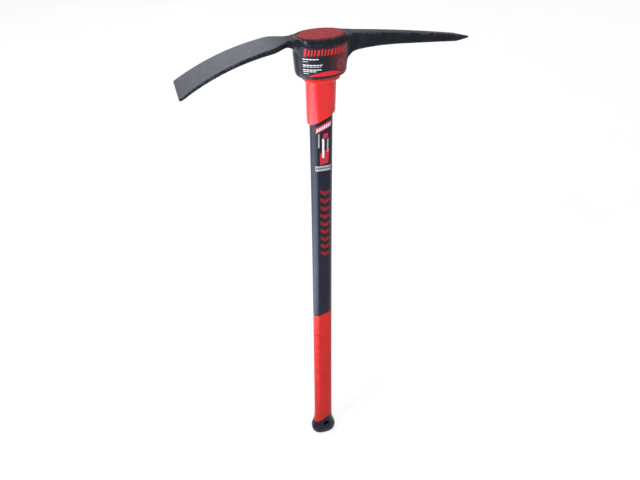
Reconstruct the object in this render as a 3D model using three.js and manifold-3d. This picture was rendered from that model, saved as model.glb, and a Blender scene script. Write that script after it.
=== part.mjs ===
// Pick mattock with a fibreglass handle, 914 mm long, for digging and prying.
//
// Frame: millimetres, +Z up along the handle, origin at the centre of the butt's flat end.
// The head stands on top. Its adze blade points to -X and its pick to +X.
// The labels face -Y. The forged head is symmetric about the plane y = 0.

import * as THREE from 'three';
import { mergeVertices } from 'three/addons/utils/BufferGeometryUtils.js';
import Module from 'manifold-3d';

const wasm = await Module();
wasm.setup();

// ---------------------------------------------------------------- driving dimensions

const TOTAL_LENGTH = 914;
const GAP = 0.3;
const OVAL_RATIO = 0.77;

// Handle: an oval with flattened faces, thinnest at its waist, with a knob at the butt.
const HANDLE_EXPONENT = 2.5;
const WAIST_HEIGHT = 500;
const WAIST_HALF_WIDTH = 18;
const TOP_HALF_WIDTH = 19.6;
const GRIP_HALF_WIDTH = 19.1;
const KNOB_HALF_LENGTH = 26.4;
const KNOB_HALF_WIDTH = 17.8;
const KNOB_HEIGHT = 14;
const KNOB_SPREAD = 18;
const BUTT_EDGE_HEIGHT = 6;
const BUTT_EDGE_INSET = 4;

// Slanted joints between the mouldings, higher on the pick side: height at the axis and slope.
const COLLAR_EDGE = { height: 777.5, slope: 0.46 };
const GRIP_TOP_EDGE = { height: 357, slope: 0.37 };
const CAP_EDGE = { height: 47, slope: 0.7 };

const CORE_RADIUS = 10;
const CORE_BOTTOM = 42;
const CORE_TOP = 900;
const CORE_FIT = 0.3;
const GRIP_WALL = 2.2;
const SKIRT_TOP = 76;
const HANG_HOLE_RADIUS = 5.5;
const HANG_HOLE_CENTRE = { x: 3, z: 31 };
const GRIP_NOTCH_COUNT = 8;
const GRIP_NOTCH_PITCH = 34.6;
const GRIP_NOTCH_LOWEST = 57;
const GRIP_NOTCH_WIDTH = 1.6;
const GRIP_NOTCH_DEPTH = 0.8;

// Head: the oval eye boss, with the seat for the plate halfway down the eye.
const BOSS_BOTTOM = 851;
const BOSS_TOP = 913;
const BOSS_EXPONENT = 2.15;
const EYE_HALF_LENGTH = 38.2;
const EYE_HALF_WIDTH = 24.4;
const EYE_TAPER = 0.1;
const PLATE_SEAT = 880;
const PLATE_THICKNESS = 6;
const SEAT_LEDGE = 3;

// Adze blade: two arcs seen from the side, a straight flare seen from above.
const ADZE_EDGE_X = -225;
const ADZE_EDGE_HALF_WIDTH = 36.9;
const ADZE_SHOULDER_X = -84;
const ADZE_SHOULDER_HALF_WIDTH = 28.8;
const ADZE_NECK_X = -49;
const ADZE_NECK_HALF_WIDTH = 12;
const ADZE_TOP_ARC = { x: -13.9, z: 523.4, radius: 390 };
const ADZE_BOTTOM_ARC = { x: -32.5, z: 551.2, radius: 352.3 };
const ADZE_BEVEL_X = -220;
const ADZE_EDGE_THICKNESS = 2.4;

// Pick: a square spike that tapers to a short point.
const PICK_TIP = { x: 249, z: 882.2 };
const PICK_POINT_X = 227;
const PICK_ROOT_HALF_WIDTH = 9.9;
const PICK_END_HALF_WIDTH = 4.7;
const PICK_TOP_ARC = { x: -168.1, z: -1445.2, radius: 2367.6 };
const PICK_TIP_HALF_SIZE = 0.6;

const COLLAR_TOP_HALF_WIDTH = 23.9;
const COLLAR_LOW_HALF_WIDTH = 22.7;
const COLLAR_EXPONENT = 2.7;
const FLANGE_HALF_LENGTH = 30.3;
const FLANGE_HALF_WIDTH = 22.4;
const FLANGE_BOTTOM = 844;

const LABEL_THICKNESS = 0.25;
const HEAD_LABEL = { halfSpan: THREE.MathUtils.degToRad(55), bottom: 857, top: 904 };
const HANDLE_LABEL = { halfSpan: THREE.MathUtils.degToRad(45), bottom: 681, topClearance: 3 };

const LONG_SEGMENTS = 40;
const BOSS_SEGMENTS = 56;

// ---------------------------------------------------------------- solids and booleans

function toSolid(geometry) {
  const bare = geometry.index ? geometry.toNonIndexed() : geometry.clone();
  bare.deleteAttribute('normal');
  bare.deleteAttribute('uv');
  const merged = mergeVertices(bare, 1e-4);
  const mesh = new wasm.Mesh({
    numProp: 3,
    vertProperties: new Float32Array(merged.attributes.position.array),
    triVerts: new Uint32Array(merged.index.array),
  });
  return new wasm.Manifold(mesh);
}

function toGeometry(solid) {
  const mesh = solid.getMesh();
  const geometry = new THREE.BufferGeometry();
  geometry.setAttribute('position', new THREE.BufferAttribute(mesh.vertProperties, 3));
  geometry.setIndex(new THREE.BufferAttribute(mesh.triVerts, 1));
  geometry.computeVertexNormals();
  return geometry;
}

// A point of an oval with flattened sides. Angle 0 points to +X.
function ovalPoint(halfLength, halfWidth, exponent, angle) {
  const c = Math.cos(angle);
  const s = Math.sin(angle);
  const power = 2 / exponent;
  return new THREE.Vector2(
    halfLength * Math.sign(c) * Math.abs(c) ** power,
    halfWidth * Math.sign(s) * Math.abs(s) ** power,
  );
}

// A stack of ovals: a unit cylinder whose rings are moved to the stations.
function ovalStack(stations, exponent, segments) {
  const rows = stations.length - 1;
  const geometry = new THREE.CylinderGeometry(1, 1, 1, segments, rows);
  geometry.rotateX(Math.PI / 2);
  const position = geometry.attributes.position;
  const vertex = new THREE.Vector3();
  for (let i = 0; i < position.count; i += 1) {
    vertex.fromBufferAttribute(position, i);
    const station = stations[Math.round((vertex.z + 0.5) * rows)];
    const onRim = Math.hypot(vertex.x, vertex.y) > 0.5;
    const angle = Math.atan2(vertex.y, vertex.x);
    const point = onRim
      ? ovalPoint(station.a, station.b, exponent, angle)
      : new THREE.Vector2(0, 0);
    position.setXYZ(i, point.x, point.y, station.z);
  }
  return toSolid(geometry);
}

function heightsBetween(low, high, count) {
  return Array.from({ length: count + 1 }, (_, i) => THREE.MathUtils.lerp(low, high, i / count));
}

// A shape drawn in the x-z plane and extruded evenly to both sides of y = 0.
function sideExtrusion(shape, width) {
  const geometry = new THREE.ExtrudeGeometry(shape, {
    depth: width,
    bevelEnabled: false,
    curveSegments: 22,
  });
  geometry.rotateX(Math.PI / 2);
  geometry.translate(0, width / 2, 0);
  return toSolid(geometry);
}

// A shape drawn in the x-y plane and extruded upwards.
function planExtrusion(shape, low, high) {
  const geometry = new THREE.ExtrudeGeometry(shape, {
    depth: high - low,
    bevelEnabled: false,
    curveSegments: 12,
  });
  geometry.translate(0, 0, low);
  return toSolid(geometry);
}

// Everything above (or below) a plane that is level along Y and slants along X.
function slantedHalfSpace(edge, above, clearance = 0) {
  const size = 1200;
  const geometry = new THREE.BoxGeometry(size, size, size);
  const shift = above ? size / 2 + clearance : -size / 2 - clearance;
  geometry.translate(0, 0, shift);
  geometry.rotateY(-Math.atan(edge.slope));
  geometry.translate(0, 0, edge.height);
  return toSolid(geometry);
}

function verticalCylinder(radius, low, high, segments) {
  const geometry = new THREE.CylinderGeometry(radius, radius, high - low, segments);
  geometry.rotateX(Math.PI / 2);
  geometry.translate(0, 0, (low + high) / 2);
  return toSolid(geometry);
}

// A thin sheet bent round the front of an oval body, between two angles and two heights.
// section(z) gives the body's {a, b}, bottomAt(x) and topAt(x) give the sheet's edges.
function wrappedSheet(section, exponent, halfSpan, bottomAt, topAt, columns, rows) {
  const geometry = new THREE.BoxGeometry(1, 1, 1, columns, 1, rows);
  const position = geometry.attributes.position;
  for (let i = 0; i < position.count; i += 1) {
    const angle = -Math.PI / 2 + 2 * halfSpan * position.getX(i);
    const lift = GAP + LABEL_THICKNESS * (0.5 - position.getY(i));
    const up = position.getZ(i) + 0.5;
    const middle = section((bottomAt(0) + topAt(0)) / 2);
    const foot = ovalPoint(middle.a, middle.b, exponent, angle);
    const z = THREE.MathUtils.lerp(bottomAt(foot.x), topAt(foot.x), up);
    const { a, b } = section(z);
    const point = ovalPoint(a + lift, b + lift, exponent, angle);
    position.setXYZ(i, point.x, point.y, z);
  }
  return toSolid(geometry);
}

// ---------------------------------------------------------------- handle outline

// Half sizes of the whole handle, from the butt's flat end to the eye.
function handleSection(z, offset = 0) {
  const lower = z < WAIST_HEIGHT;
  const reach = lower ? WAIST_HEIGHT : BOSS_BOTTOM - WAIST_HEIGHT;
  const growth = (lower ? GRIP_HALF_WIDTH : TOP_HALF_WIDTH) - WAIST_HALF_WIDTH;
  const waist = WAIST_HALF_WIDTH + growth * ((z - WAIST_HEIGHT) / reach) ** 2;
  const flare = Math.exp(-(((z - KNOB_HEIGHT) / KNOB_SPREAD) ** 2));
  const edge = Math.max(0, 1 - z / BUTT_EDGE_HEIGHT);
  const outset = offset - BUTT_EDGE_INSET * (1 - Math.sqrt(1 - edge * edge));
  return {
    z,
    a: waist + (KNOB_HALF_LENGTH - GRIP_HALF_WIDTH) * flare + outset,
    b: waist * OVAL_RATIO + (KNOB_HALF_WIDTH - GRIP_HALF_WIDTH * OVAL_RATIO) * flare + outset,
  };
}

function handleStack(heights, offset = 0) {
  const stations = heights.map((z) => handleSection(z, offset));
  return ovalStack(stations, HANDLE_EXPONENT, LONG_SEGMENTS);
}

// The straight body under the grip has no knob, so that the grip slides on from below.
function innerHandleStack(heights, offset) {
  const stations = heights.map((z) => ({ ...handleSection(Math.max(z, SKIRT_TOP), offset), z }));
  return ovalStack(stations, HANDLE_EXPONENT, LONG_SEGMENTS);
}

const KNOB_HEIGHTS = [
  ...heightsBetween(0, BUTT_EDGE_HEIGHT, 4),
  ...heightsBetween(9, 30, 5),
  ...heightsBetween(36, SKIRT_TOP, 4),
];
const GRIP_HEIGHTS = [...heightsBetween(20, SKIRT_TOP, 8), ...heightsBetween(110, 400, 6)];
const GRIP_BORE_HEIGHTS = [10, SKIRT_TOP, 110, 210, 300, 410];

// ---------------------------------------------------------------- eye of the head

// Half sizes of the eye's tapered wall. The lower eye is narrower by the plate's seat.
function eyeSection(z, ledge, offset = 0) {
  const inset = EYE_TAPER * (BOSS_TOP - z) + ledge - offset;
  return { z, a: EYE_HALF_LENGTH - inset, b: EYE_HALF_WIDTH - inset };
}

function eyeStack(low, high, ledge, offset = 0) {
  const stations = [low, high].map((z) => eyeSection(z, ledge, offset));
  return ovalStack(stations, 2, BOSS_SEGMENTS);
}

// ---------------------------------------------------------------- head

// Outer half sizes of the boss: rounded in at its foot and at its top edge.
function bossSection(z) {
  const rise = (z - BOSS_BOTTOM) / (BOSS_TOP - BOSS_BOTTOM);
  const foot = Math.max(0, 1 - (z - BOSS_BOTTOM) / 8);
  const crown = Math.max(0, 1 - (BOSS_TOP - z) / 7);
  const footInset = 4.4 * (1 - Math.sqrt(1 - foot * foot));
  const crownInset = 3.4 * (1 - Math.sqrt(1 - crown * crown));
  const inset = footInset + crownInset;
  return { z, a: 40.4 + 5 * rise - inset, b: 29 + 2.6 * rise - inset };
}

function makeBoss() {
  const heights = [
    ...heightsBetween(BOSS_BOTTOM, BOSS_BOTTOM + 8, 4),
    ...heightsBetween(BOSS_BOTTOM + 18, BOSS_TOP - 7, 4),
    ...heightsBetween(BOSS_TOP - 5, BOSS_TOP, 4),
  ];
  return ovalStack(heights.map(bossSection), BOSS_EXPONENT, BOSS_SEGMENTS);
}

function arcHeight(arc, x) {
  return arc.z + Math.sqrt(arc.radius ** 2 - (x - arc.x) ** 2);
}

function arcAngle(arc, x) {
  return Math.acos((x - arc.x) / arc.radius);
}

function addArc(shape, arc, fromX, toX) {
  const start = arcAngle(arc, fromX);
  const end = arcAngle(arc, toX);
  shape.absarc(arc.x, arc.z, arc.radius, start, end, end < start);
}

function makeAdze() {
  const rootX = -30;
  const side = new THREE.Shape();
  side.moveTo(rootX, arcHeight(ADZE_TOP_ARC, -40));
  addArc(side, ADZE_TOP_ARC, -40, ADZE_EDGE_X);
  side.lineTo(ADZE_EDGE_X + 1, arcHeight(ADZE_TOP_ARC, ADZE_EDGE_X) - ADZE_EDGE_THICKNESS);
  addArc(side, ADZE_BOTTOM_ARC, ADZE_BEVEL_X, -62);
  side.quadraticCurveTo(-52, 903, -45, 897);
  side.lineTo(-38, 890);
  side.lineTo(rootX, 890);
  side.closePath();

  // Seen from above: straight flare, shoulders, then a neck that opens into the boss.
  const plan = new THREE.Shape();
  plan.moveTo(ADZE_EDGE_X - 2, -ADZE_EDGE_HALF_WIDTH);
  plan.lineTo(ADZE_SHOULDER_X, -ADZE_SHOULDER_HALF_WIDTH);
  plan.bezierCurveTo(-68, -27.8, -60, -ADZE_NECK_HALF_WIDTH, ADZE_NECK_X, -ADZE_NECK_HALF_WIDTH);
  plan.quadraticCurveTo(-41, -ADZE_NECK_HALF_WIDTH, -32, -19);
  plan.lineTo(rootX, -19);
  plan.lineTo(rootX, 19);
  plan.lineTo(-32, 19);
  plan.quadraticCurveTo(-41, ADZE_NECK_HALF_WIDTH, ADZE_NECK_X, ADZE_NECK_HALF_WIDTH);
  plan.bezierCurveTo(-60, ADZE_NECK_HALF_WIDTH, -68, 27.8, ADZE_SHOULDER_X, ADZE_SHOULDER_HALF_WIDTH);
  plan.lineTo(ADZE_EDGE_X - 2, ADZE_EDGE_HALF_WIDTH);
  plan.closePath();

  return sideExtrusion(side, 90).intersect(planExtrusion(plan, 800, 950));
}

function makePick() {
  const rootX = 30;
  const side = new THREE.Shape();
  side.moveTo(rootX, 860);
  side.lineTo(38.5, 860);
  side.bezierCurveTo(40, 872, 43, 882.5, 60, 885.6);
  side.quadraticCurveTo(90, 889, 130, 886.2);
  side.lineTo(PICK_POINT_X, 878.7);
  side.lineTo(PICK_TIP.x, PICK_TIP.z - PICK_TIP_HALF_SIZE);
  side.lineTo(PICK_TIP.x, PICK_TIP.z + PICK_TIP_HALF_SIZE);
  side.lineTo(PICK_POINT_X - 5, arcHeight(PICK_TOP_ARC, PICK_POINT_X - 5));
  addArc(side, PICK_TOP_ARC, PICK_POINT_X - 5, 44);
  side.lineTo(rootX, arcHeight(PICK_TOP_ARC, 44));
  side.closePath();

  const plan = new THREE.Shape();
  plan.moveTo(rootX, -19);
  plan.quadraticCurveTo(42, -11, 58, -PICK_ROOT_HALF_WIDTH);
  plan.lineTo(PICK_POINT_X, -PICK_END_HALF_WIDTH);
  plan.lineTo(PICK_TIP.x + 1, -PICK_TIP_HALF_SIZE);
  plan.lineTo(PICK_TIP.x + 1, PICK_TIP_HALF_SIZE);
  plan.lineTo(PICK_POINT_X, PICK_END_HALF_WIDTH);
  plan.lineTo(58, PICK_ROOT_HALF_WIDTH);
  plan.quadraticCurveTo(42, 11, rootX, 19);
  plan.closePath();

  return sideExtrusion(side, 60).intersect(planExtrusion(plan, 800, 950));
}

function makeHead() {
  const forging = makeBoss().add(makeAdze()).add(makePick());
  const upperEye = eyeStack(PLATE_SEAT, BOSS_TOP + 5, 0);
  const lowerEye = eyeStack(BOSS_BOTTOM - 5, PLATE_SEAT + 1, SEAT_LEDGE);
  return forging.subtract(upperEye).subtract(lowerEye);
}

// ---------------------------------------------------------------- pieces inside the eye

function makeEyePlug() {
  const low = PLATE_SEAT + PLATE_THICKNESS + 2 * GAP;
  const stations = [
    eyeSection(low, 0, -GAP),
    eyeSection(BOSS_TOP, 0, -GAP),
    { ...eyeSection(BOSS_TOP, 0, -GAP), z: TOTAL_LENGTH - 0.6 },
    { ...eyeSection(BOSS_TOP, 0, -GAP - 0.7), z: TOTAL_LENGTH },
  ];
  const socket = verticalCylinder(CORE_RADIUS + CORE_FIT, low - 5, CORE_TOP + GAP, 40);
  return ovalStack(stations, 2, BOSS_SEGMENTS).subtract(socket);
}

function makeLockPlate() {
  const plate = eyeStack(PLATE_SEAT + GAP, PLATE_SEAT + GAP + PLATE_THICKNESS, 0, -GAP);
  return plate.subtract(verticalCylinder(CORE_RADIUS + CORE_FIT, PLATE_SEAT - 5, BOSS_TOP, 40));
}

// ---------------------------------------------------------------- handle pieces

function makeCoreRod() {
  return verticalCylinder(CORE_RADIUS, CORE_BOTTOM, CORE_TOP, 40);
}

// The jacket's upper end widens inside the lower eye, where the head is bonded on.
function makeHandleJacket() {
  const body = handleStack([...heightsBetween(SKIRT_TOP + GAP, 480, 6), ...heightsBetween(560, 858, 6)]);
  const spigot = eyeStack(BOSS_BOTTOM + GAP, PLATE_SEAT - GAP, SEAT_LEDGE, -GAP);
  const gripRoom = handleStack(GRIP_HEIGHTS, 5)
    .subtract(innerHandleStack(GRIP_BORE_HEIGHTS, -GRIP_WALL - GAP))
    .subtract(slantedHalfSpace(GRIP_TOP_EDGE, true));
  const bore = verticalCylinder(CORE_RADIUS + CORE_FIT, 0, TOTAL_LENGTH, 40);
  return body.add(spigot).subtract(gripRoom).subtract(bore);
}

function makeCollar() {
  const bodyHalf = (z) => {
    const rise = (z - COLLAR_EDGE.height) / (FLANGE_BOTTOM - COLLAR_EDGE.height);
    return THREE.MathUtils.lerp(COLLAR_LOW_HALF_WIDTH, COLLAR_TOP_HALF_WIDTH, rise);
  };
  const body = heightsBetween(760, FLANGE_BOTTOM - 2, 5).map((z) => ({
    z,
    a: bodyHalf(z),
    b: bodyHalf(z) * OVAL_RATIO,
  }));
  const top = BOSS_BOTTOM - GAP;
  const flange = [
    { z: FLANGE_BOTTOM, a: FLANGE_HALF_LENGTH - 1.5, b: FLANGE_HALF_WIDTH - 1.5 },
    { z: FLANGE_BOTTOM + 1.5, a: FLANGE_HALF_LENGTH, b: FLANGE_HALF_WIDTH },
    { z: top, a: FLANGE_HALF_LENGTH, b: FLANGE_HALF_WIDTH },
  ];
  const bore = handleStack(heightsBetween(740, 880, 4), GAP + 0.1);
  return ovalStack([...body, ...flange], COLLAR_EXPONENT, LONG_SEGMENTS)
    .intersect(slantedHalfSpace(COLLAR_EDGE, true))
    .subtract(bore);
}

// Short cross notches on the two narrow sides of the grip.
function makeGripNotches() {
  let notches = null;
  for (let i = 0; i < GRIP_NOTCH_COUNT; i += 1) {
    const z = GRIP_NOTCH_LOWEST + i * GRIP_NOTCH_PITCH;
    for (const side of [-1, 1]) {
      const geometry = new THREE.BoxGeometry(10, 60, GRIP_NOTCH_WIDTH);
      geometry.translate(side * (handleSection(z).a - GRIP_NOTCH_DEPTH + 5), 0, z);
      const notch = toSolid(geometry);
      notches = notches ? notches.add(notch) : notch;
    }
  }
  return notches;
}

function makeGripSleeve() {
  return handleStack(GRIP_HEIGHTS)
    .subtract(innerHandleStack(GRIP_BORE_HEIGHTS, -GRIP_WALL))
    .subtract(slantedHalfSpace(GRIP_TOP_EDGE, true, -GAP))
    .subtract(slantedHalfSpace(CAP_EDGE, false, -GAP))
    .subtract(makeGripNotches());
}

function makeButtCap() {
  const knob = handleStack(KNOB_HEIGHTS).intersect(slantedHalfSpace(CAP_EDGE, false));
  const skirt = innerHandleStack([28, SKIRT_TOP], -GRIP_WALL - GAP);
  const socket = verticalCylinder(CORE_RADIUS + CORE_FIT, CORE_BOTTOM - GAP, 100, 40);
  const holeGeometry = new THREE.CylinderGeometry(HANG_HOLE_RADIUS, HANG_HOLE_RADIUS, 80, 32);
  holeGeometry.translate(HANG_HOLE_CENTRE.x, 0, HANG_HOLE_CENTRE.z);
  return knob.add(skirt).subtract(socket).subtract(toSolid(holeGeometry));
}

// ---------------------------------------------------------------- labels

function makeHeadLabel() {
  return wrappedSheet(
    bossSection,
    BOSS_EXPONENT,
    HEAD_LABEL.halfSpan,
    () => HEAD_LABEL.bottom,
    () => HEAD_LABEL.top,
    24,
    4,
  );
}

function makeHandleLabel() {
  const top = (x) => COLLAR_EDGE.height + COLLAR_EDGE.slope * x - HANDLE_LABEL.topClearance;
  return wrappedSheet(
    handleSection,
    HANDLE_EXPONENT,
    HANDLE_LABEL.halfSpan,
    () => HANDLE_LABEL.bottom,
    top,
    18,
    4,
  );
}

// ---------------------------------------------------------------- assembly

const STEEL = { color: 0x34363d, roughness: 0.55, metalness: 0.6 };
const PLATE_STEEL = { color: 0x9aa09c, roughness: 0.45, metalness: 0.9 };
const RED_PLASTIC = { color: 0xd23338, roughness: 0.4, metalness: 0 };
const PLUG_PLASTIC = { color: 0xb24a4f, roughness: 0.5, metalness: 0 };
const GREY_PLASTIC = { color: 0x3a3c4b, roughness: 0.5, metalness: 0 };
const BLACK_RUBBER = { color: 0x22212b, roughness: 0.7, metalness: 0 };
const WHITE_FIBREGLASS = { color: 0xe4e2da, roughness: 0.5, metalness: 0 };
const BLACK_LABEL = { color: 0x17161b, roughness: 0.3, metalness: 0 };

const pieces = [
  ['mattock_head', makeHead, STEEL],
  ['eye_plug', makeEyePlug, PLUG_PLASTIC],
  ['lock_plate', makeLockPlate, PLATE_STEEL],
  ['core_rod', makeCoreRod, WHITE_FIBREGLASS],
  ['handle_jacket', makeHandleJacket, GREY_PLASTIC],
  ['overstrike_collar', makeCollar, RED_PLASTIC],
  ['grip_sleeve', makeGripSleeve, RED_PLASTIC],
  ['butt_cap', makeButtCap, BLACK_RUBBER],
  ['head_label', makeHeadLabel, BLACK_LABEL],
  ['handle_label', makeHandleLabel, BLACK_LABEL],
];

const mattock = new THREE.Group();
for (const [name, make, finish] of pieces) {
  const mesh = new THREE.Mesh(toGeometry(make()), new THREE.MeshStandardMaterial(finish));
  mesh.name = name;
  mattock.add(mesh);
}

export default mattock;
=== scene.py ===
"""Looks of a pick mattock: forged head, red collar and grip, slate handle, black butt cap.

Lengths in the shape functions are millimetres in the part's frame. add_mesh turns them into metres.
"""

import math

import bmesh
import bpy
import numpy as np
from mathutils import Matrix, Vector


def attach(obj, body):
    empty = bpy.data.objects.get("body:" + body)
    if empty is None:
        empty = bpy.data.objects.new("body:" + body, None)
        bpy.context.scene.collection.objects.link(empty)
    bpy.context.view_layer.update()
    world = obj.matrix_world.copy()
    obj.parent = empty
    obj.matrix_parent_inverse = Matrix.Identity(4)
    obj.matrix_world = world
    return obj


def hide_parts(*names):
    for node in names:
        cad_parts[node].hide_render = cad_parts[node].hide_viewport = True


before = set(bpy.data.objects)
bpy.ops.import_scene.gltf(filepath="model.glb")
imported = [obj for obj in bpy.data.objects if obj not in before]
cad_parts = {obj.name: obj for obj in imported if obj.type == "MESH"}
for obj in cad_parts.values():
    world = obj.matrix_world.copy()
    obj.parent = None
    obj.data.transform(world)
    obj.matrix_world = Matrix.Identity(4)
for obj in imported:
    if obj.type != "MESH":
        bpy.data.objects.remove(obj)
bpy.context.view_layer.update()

MM = 0.001
GAP = 0.3
OVAL_RATIO = 0.77
SMOOTH_ANGLE = math.radians(38)

# Handle outline, the same as the CAD's.
HANDLE_EXPONENT = 2.5
WAIST_HEIGHT = 500.0
WAIST_HALF_WIDTH = 18.0
TOP_HALF_WIDTH = 19.6
GRIP_HALF_WIDTH = 19.1
KNOB_HALF_LENGTH = 26.4
KNOB_HALF_WIDTH = 17.8
KNOB_HEIGHT = 14.0
KNOB_SPREAD = 18.0
BUTT_EDGE_HEIGHT = 6.0
BUTT_EDGE_INSET = 4.0
# Its flats' distances, as shares of the half length, and the flanks' turn from the front in degrees.
FRONT_FLAT = 0.72
FLANK_FLAT = 0.935
FLANK_TURN = 48
# Top of the cap's skirt, thickness of the grip's wall, and radius of the room for the rod.
SKIRT_TOP = 76.0
GRIP_WALL = 2.2
CORE_HOLE = 10.3

# Slanted joints: height at the axis and slope towards the pick.
COLLAR_EDGE = (777.5, 0.46)
GRIP_TOP_EDGE = (357.0, 0.37)
CAP_EDGE = (47.0, 0.7)

# Head.
BOSS_BOTTOM = 851.0
BOSS_TOP = 913.0
BOSS_EXPONENT = 2.15
# The eye's half sizes at the top. It narrows downwards by the taper, and the ledge is under the plate.
EYE_HALF_LENGTH = 38.2
EYE_HALF_WIDTH = 24.4
EYE_TAPER = 0.1
PLATE_SEAT = 880.0
SEAT_LEDGE = 3.0
# The boss's half sizes at its foot, and how much they grow to the top.
BOSS_FOOT_SIZE = (40.4, 29.0)
BOSS_GROWTH = (5.0, 2.6)
# Its rounded foot and sloped shoulder: height and how far they draw in.
FOOT_ROUND = (8.0, 4.4)
SHOULDER = (9.0, 5.2)
SHOULDER_POWER = 1.25
# Arcs of the blades: centre x and z, and radius.
ADZE_TOP_ARC = (-13.9, 523.4, 390.0)
ADZE_BOTTOM_ARC = (-32.5, 551.2, 352.3)
PICK_TOP_ARC = (-168.1, -1445.2, 2367.6)
# What the smoothing takes off the forging, and is put back.
SMOOTHING_LOSS = 0.3
VOXEL = 0.85

# The head label's half length, measured round the boss, and the heights of its edges.
HEAD_LABEL_HALF = 38.6
HEAD_LABEL_EDGES = (857.0, 904.0)

FRONT = -math.pi / 2


# ---------------------------------------------------------------- mesh helpers


def add_mesh(name, points, faces, material=None, sharp_angle=SMOOTH_ANGLE):
    """A new object from points in millimetres, smooth except where faces meet at over sharp_angle."""
    mesh = bpy.data.meshes.new(name)
    mesh.from_pydata((np.asarray(points, float) * MM).tolist(), [], faces)
    obj = bpy.data.objects.new(name, mesh)
    bpy.context.scene.collection.objects.link(obj)
    smooth(obj, sharp_angle)
    if material:
        mesh.materials.append(material)
    return obj


def smooth(obj, sharp_angle=SMOOTH_ANGLE):
    mesh = obj.data
    mesh.polygons.foreach_set("use_smooth", [True] * len(mesh.polygons))
    mesh.set_sharp_from_angle(angle=sharp_angle)
    mesh.update()


def loft_faces(rows, count, closed):
    faces = []
    for row in range(rows if closed else rows - 1):
        low, high = row * count, (row + 1) % rows * count
        for k in range(count):
            j = (k + 1) % count
            faces.append((low + k, low + j, high + j, high + k))
    if not closed:
        faces.append(tuple(reversed(range(count))))
        faces.append(tuple(range((rows - 1) * count, rows * count)))
    return faces


def loft(name, rings, material=None, closed=False, sharp_angle=SMOOTH_ANGLE):
    """A closed body through rings of points.

    closed joins the last ring to the first, as in a tube's wall.
    """
    rings = np.asarray(rings, float)
    rows, count, _ = rings.shape
    faces = loft_faces(rows, count, closed)
    return add_mesh(name, rings.reshape(-1, 3), faces, material, sharp_angle)


def with_modifiers(obj):
    """Puts what the object's modifiers make into its mesh."""
    depsgraph = bpy.context.evaluated_depsgraph_get()
    made = bpy.data.meshes.new_from_object(obj.evaluated_get(depsgraph))
    obj.modifiers.clear()
    obj.data = made


def triangulate(obj):
    made = bmesh.new()
    made.from_mesh(obj.data)
    bmesh.ops.triangulate(made, faces=made.faces)
    made.to_mesh(obj.data)
    made.free()


def cut(obj, cutter):
    """Takes the cutter's shape out of obj and removes the cutter. Triangles leave no folded slivers."""
    triangulate(obj)
    triangulate(cutter)
    modifier = obj.modifiers.new("cut", "BOOLEAN")
    modifier.operation = "DIFFERENCE"
    modifier.object = cutter
    modifier.solver = "MANIFOLD"
    bpy.context.view_layer.update()
    with_modifiers(obj)
    bpy.data.objects.remove(cutter)


def present(obj, replaced=None):
    """Puts a piece on the part's body and hides the CAD node that it stands for."""
    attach(obj, "root")
    if replaced:
        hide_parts(replaced)


def ring_angles(count):
    return np.linspace(0, 2 * math.pi, count, endpoint=False)


def oval(a, b, exponent, angle):
    """A point of an oval with flattened sides, as (x, y)."""
    c, s = np.cos(angle), np.sin(angle)
    power = 2 / exponent
    return a * np.sign(c) * np.abs(c) ** power, b * np.sign(s) * np.abs(s) ** power


def ring(section, exponent, z, angles, slope=0.0):
    """An oval ring with half sizes section, at height z on the axis, slanted by slope along X."""
    x, y = oval(section[0], section[1], exponent, angles)
    return np.stack([x, y, z + slope * x], axis=-1)


def smoothstep(low, high, value):
    t = np.clip((value - low) / (high - low), 0, 1)
    return t * t * (3 - 2 * t)


def edge_inset(distance, radius):
    """How far a rounded edge draws in at this distance from its end."""
    d = max(0.0, 1 - distance / radius)
    return radius * (1 - math.sqrt(1 - d * d))


# ---------------------------------------------------------------- outlines shared with the CAD


def handle_section(z, offset=0.0):
    """Half length and half width of the handle at height z, which may be an array."""
    z = np.asarray(z, float)
    lower = z < WAIST_HEIGHT
    reach = np.where(lower, WAIST_HEIGHT, BOSS_BOTTOM - WAIST_HEIGHT)
    growth = np.where(lower, GRIP_HALF_WIDTH, TOP_HALF_WIDTH) - WAIST_HALF_WIDTH
    waist = WAIST_HALF_WIDTH + growth * ((z - WAIST_HEIGHT) / reach) ** 2
    flare = np.exp(-(((z - KNOB_HEIGHT) / KNOB_SPREAD) ** 2))
    edge = np.clip(1 - z / BUTT_EDGE_HEIGHT, 0, 1)
    outset = offset - BUTT_EDGE_INSET * (1 - np.sqrt(1 - edge * edge))
    a = waist + (KNOB_HALF_LENGTH - GRIP_HALF_WIDTH) * flare + outset
    b = waist * OVAL_RATIO + (KNOB_HALF_WIDTH - GRIP_HALF_WIDTH * OVAL_RATIO) * flare + outset
    return a, b


def inner_section(z, offset):
    """The straight body under the grip, which has no knob."""
    return handle_section(np.maximum(z, SKIRT_TOP), offset)


def boss_section(z):
    z = np.asarray(z, float)
    rise = (z - BOSS_BOTTOM) / (BOSS_TOP - BOSS_BOTTOM)
    foot = np.clip(1 - (z - BOSS_BOTTOM) / FOOT_ROUND[0], 0, 1)
    crown = np.clip(1 - (BOSS_TOP - z) / SHOULDER[0], 0, 1)
    inset = FOOT_ROUND[1] * (1 - np.sqrt(1 - foot * foot)) + SHOULDER[1] * crown**SHOULDER_POWER
    a, b = (foot_size + growth * rise for foot_size, growth in zip(BOSS_FOOT_SIZE, BOSS_GROWTH))
    return a - inset, b - inset


def boss_outline(z, angles, offset=0.0):
    a, b = boss_section(z)
    return oval(a + offset, b + offset, BOSS_EXPONENT, angles)


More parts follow.
